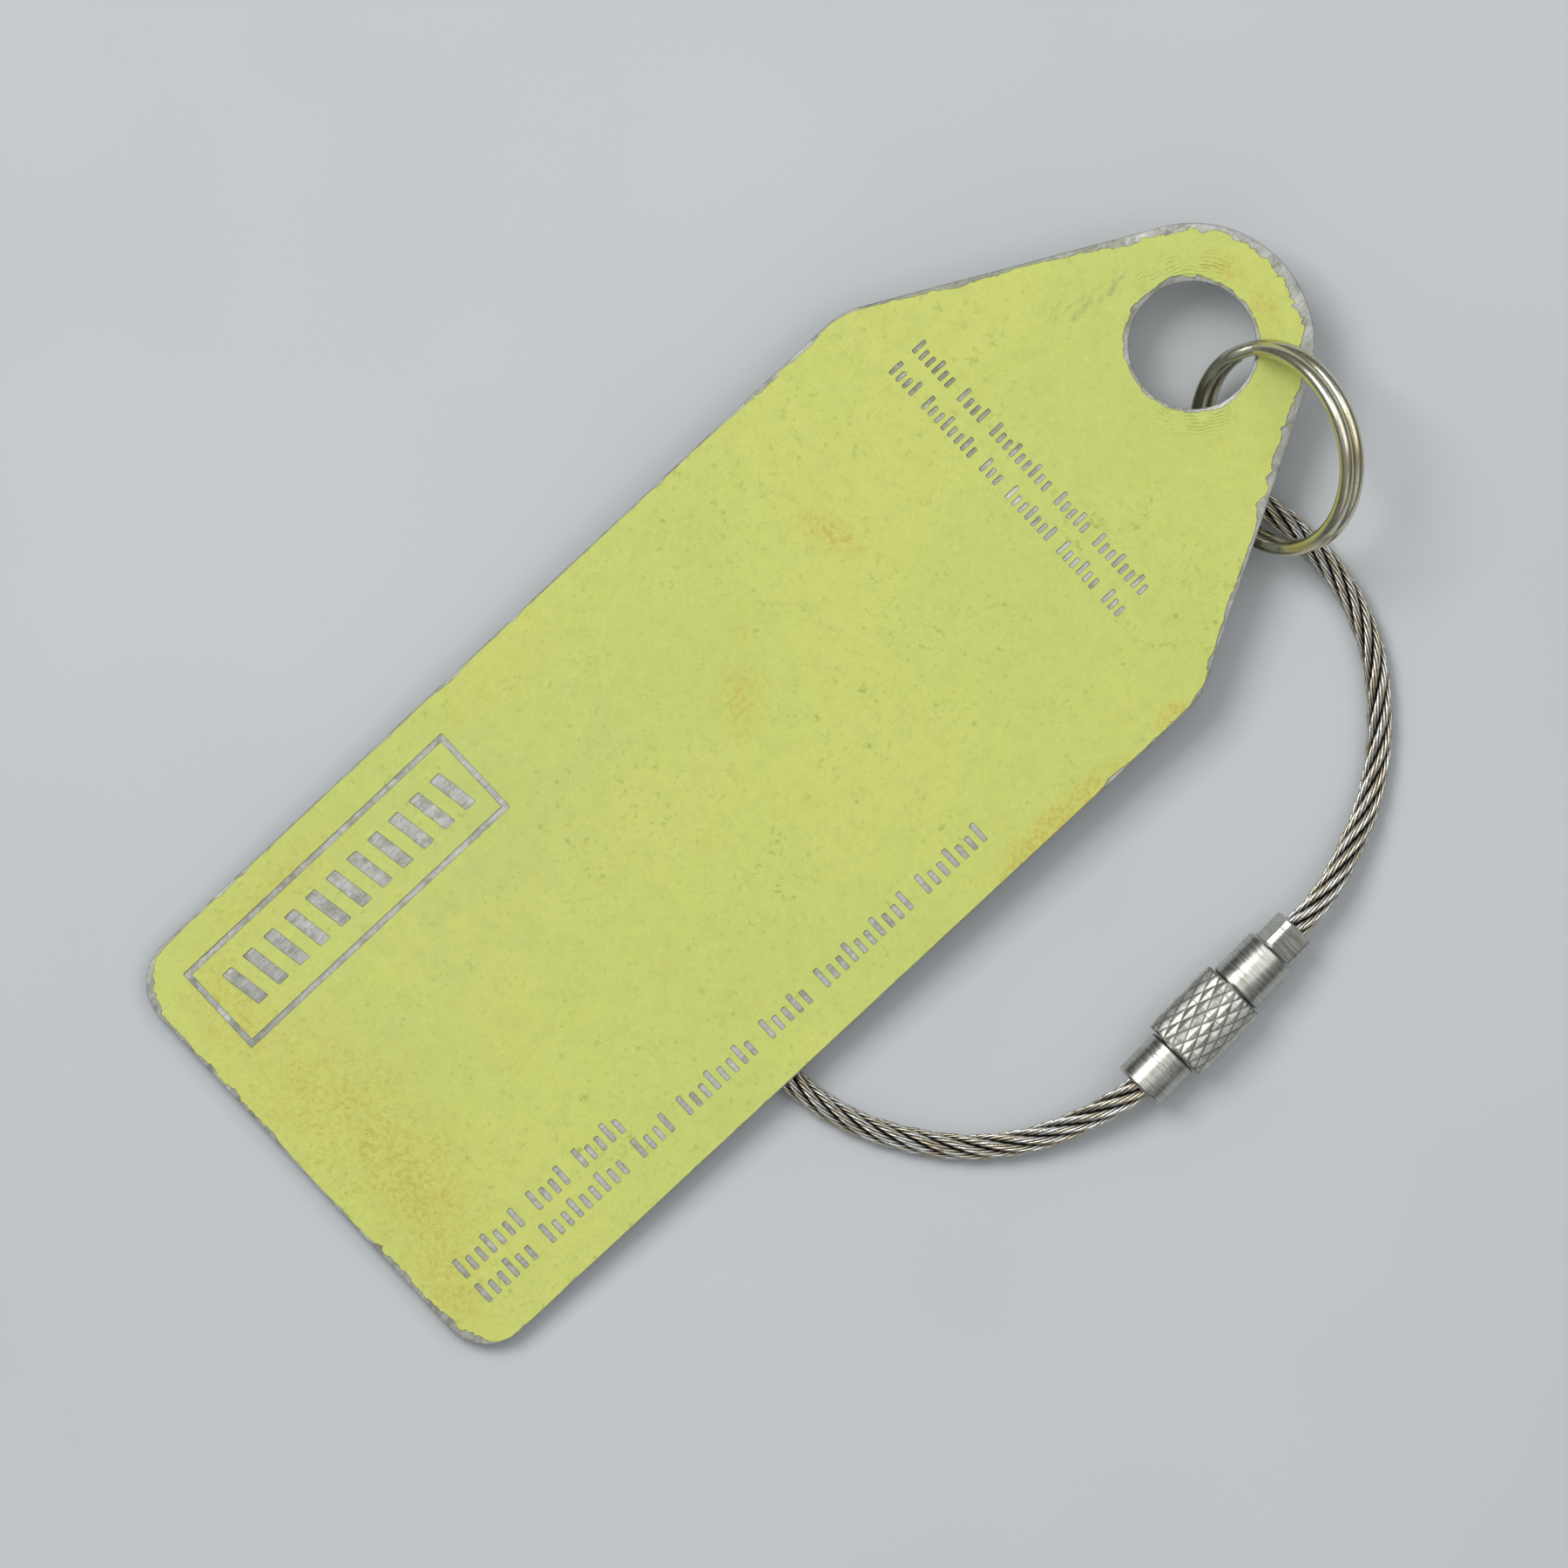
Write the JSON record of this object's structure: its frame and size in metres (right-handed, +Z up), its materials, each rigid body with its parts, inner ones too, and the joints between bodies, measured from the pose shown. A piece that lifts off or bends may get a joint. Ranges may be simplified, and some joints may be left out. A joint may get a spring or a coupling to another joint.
{
  "type": "luggage tag",
  "caption": "Painted sheet-metal tag plate with a punched hole, a split ring and a steel cable loop closed by a knurled screw clasp.",
  "frame": {"origin": "on the table, beneath the middle of the tag plate", "axes": "+Z up from the table through the painted face, +Y along the plate towards its hole, +X towards the side where the cable loop lies"},
  "size_m": [0.0512, 0.0852, 0.0112],
  "materials": {
    "bare_aluminium": "rolled sheet, scuffed at the edges",
    "primer": "matt yellow-green primer, mottled and chipped at the edges",
    "nickel_wire": "polished nickel with a slight straw tint",
    "rope_steel": "drawn stainless wires",
    "turned_steel": "turned, satin",
    "knurled_steel": "diamond knurl, satin"
  },
  "bodies": {
    "tag": {"tag_plate": "bare_aluminium", "primer_coat": "primer"},
    "ring": {"split_ring": "nickel_wire"},
    "loop": {"cable": "rope_steel", "swivel_ferrule": "turned_steel"},
    "stud": {"stud_ferrule": "turned_steel"},
    "nut": {"knurled_nut": "knurled_steel"}
  },
  "joints": [
    {"name": "ring_swing", "type": "hinge", "parent": "tag", "child": "ring", "pos_m": [0.00806, 0.03347, 0.00471], "axis": [0.9063, -0.4226, 0], "range_deg": [0, 70]},
    {"name": "cable_swing", "type": "hinge", "parent": "ring", "child": "loop", "pos_m": [0.0062, 0.0301, 0.0025], "axis": [0.9389, 0.3414, -0.0427], "range_deg": [0, 110]},
    {"name": "nut_turn", "type": "hinge", "parent": "loop", "child": "nut", "pos_m": [0.03203, 0.00609, 0.0023], "axis": [0.0454, -0.999, 0], "range_deg": [0, 1800]},
    {"name": "clasp_open", "type": "slide", "parent": "loop", "child": "stud", "axis": [-0.0454, 0.999, 0], "range_m": [0, 0.0025]}
  ],
  "couplings": [
    {"joint": "nut_turn", "follows": "clasp_open", "rad_per_m": 12566}
  ]
}
